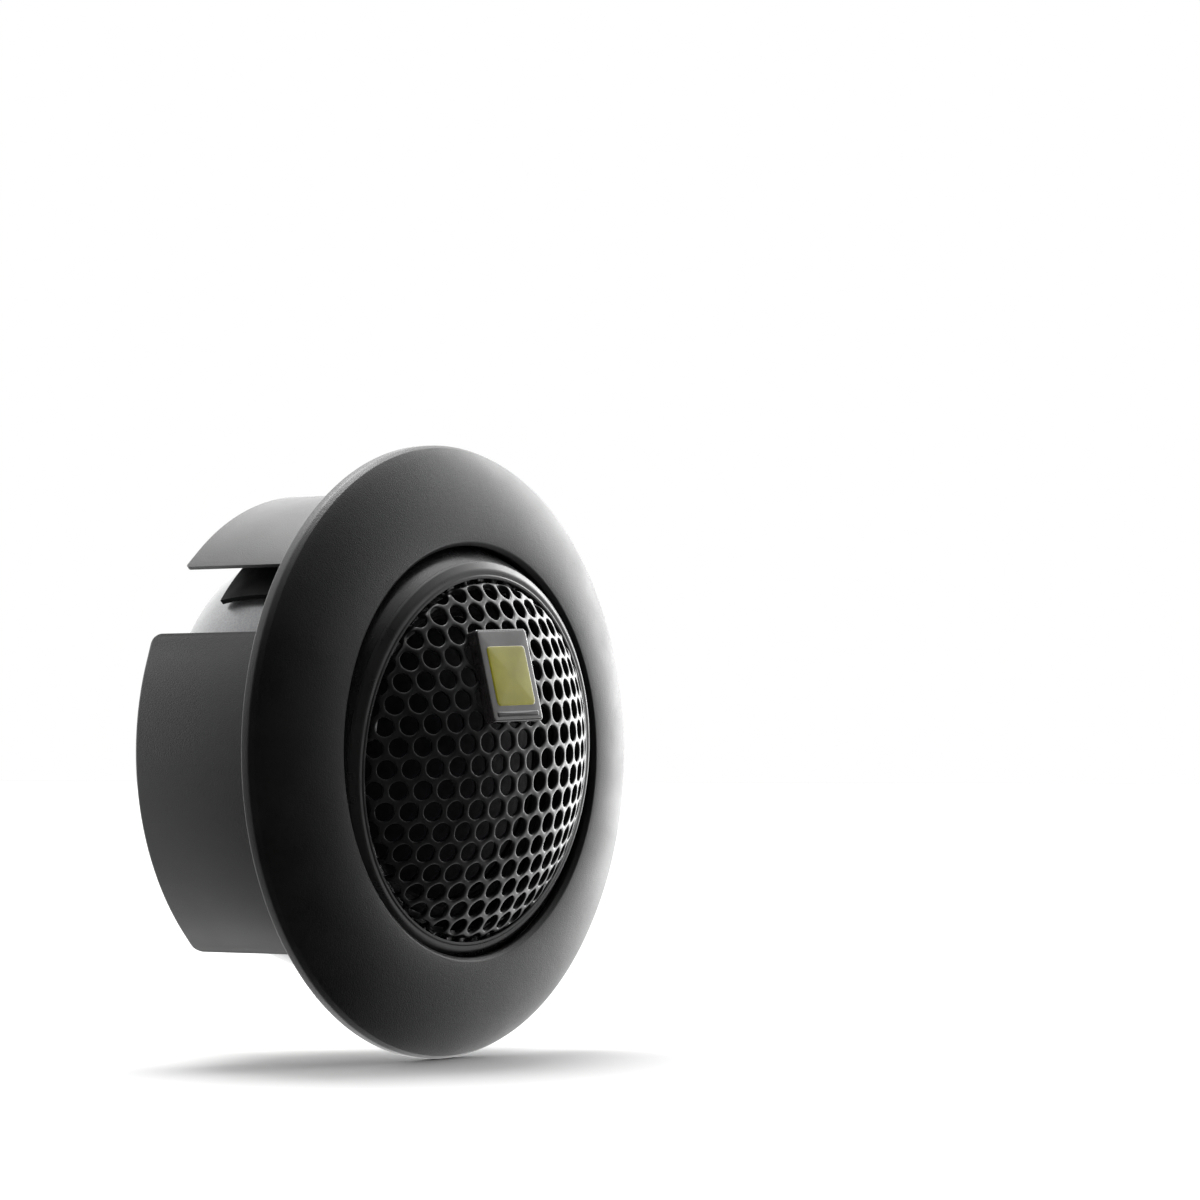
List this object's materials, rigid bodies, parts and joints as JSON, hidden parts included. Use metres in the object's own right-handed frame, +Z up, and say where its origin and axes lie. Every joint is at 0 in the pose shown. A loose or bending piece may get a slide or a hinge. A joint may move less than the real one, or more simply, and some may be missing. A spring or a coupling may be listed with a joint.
{
  "type": "flush mount dome tweeter",
  "caption": "Round dome tweeter for a car panel: wide convex flange, split snap-in skirt, and a swivelling ball with a domed perforated grille in front and spade terminals behind.",
  "frame": {"origin": "on the cup's axis, in the plane of the flange's back face, which is the panel's front face", "axes": "+Y along the cup's axis into the panel, so the front faces -Y; +Z up with the badge above the ball's centre; +X to the right seen from the front"},
  "size_m": [0.054, 0.0389, 0.054],
  "materials": {
    "flange_plastic": "soft-touch matt black",
    "shell_gloss": "high gloss black",
    "trim_satin": "satin black",
    "grille_steel": "satin black enamel",
    "shell_silver": "silver lacquer",
    "screw_steel": "zinc plated",
    "motor_steel": "bright nickel plate",
    "magnet_metal": "nickel plated sintered magnet",
    "contact_brass": "bright",
    "coil_copper": "enamelled wire",
    "former_aluminium": "satin",
    "dome_silk": "coated cloth",
    "felt": "felt and foam",
    "badge_base": "smoked resin over grey",
    "badge_inlay": "glossy",
    "wire_red": "insulated wire",
    "wire_black": "insulated wire"
  },
  "bodies": {
    "mount": {"mounting_cup": "flange_plastic"},
    "socket": {"socket_ring": "trim_satin"},
    "capsule": {"front_shell": "shell_gloss", "bezel_ring": "trim_satin", "grille": "grille_steel", "badge_plate": "badge_base", "badge_inlay": "badge_inlay", "diaphragm_frame": "trim_satin", "frame_gasket": "felt", "surround": "dome_silk", "top_plate": "motor_steel", "magnet": "magnet_metal", "dome_damper": "felt", "return_cup": "motor_steel", "rear_shell": "shell_silver", "terminal_block": "trim_satin", "chamber_foam": "felt", "motor_washer": "screw_steel", "motor_screw": "screw_steel", "terminal_screw_1": "screw_steel", "terminal_screw_2": "screw_steel", "terminal_positive": "contact_brass", "terminal_negative": "contact_brass", "solder_tag_positive": "contact_brass", "solder_tag_negative": "contact_brass", "lead_wire_positive": "wire_red", "lead_wire_negative": "wire_black"},
    "diaphragm": {"dome": "dome_silk", "coil_former": "former_aluminium", "voice_coil": "coil_copper"}
  },
  "joints": [
    {"name": "swivel_turn", "type": "hinge", "parent": "mount", "child": "socket", "pos_m": [0, 0.0066, 0], "axis": [0, 1, 0], "range_deg": [-90, 90]},
    {"name": "swivel_tilt", "type": "hinge", "parent": "socket", "child": "capsule", "pos_m": [0, 0.0066, 0], "axis": [1, 0, 0], "range_deg": [-16.1, 7.9]},
    {"name": "diaphragm_travel", "type": "slide", "parent": "capsule", "child": "diaphragm", "axis": [0, -0.9974, -0.0715], "range_m": [-0.0003, 0.0003], "stiffness_N_per_m": 400, "deforming": ["surround"]}
  ]
}
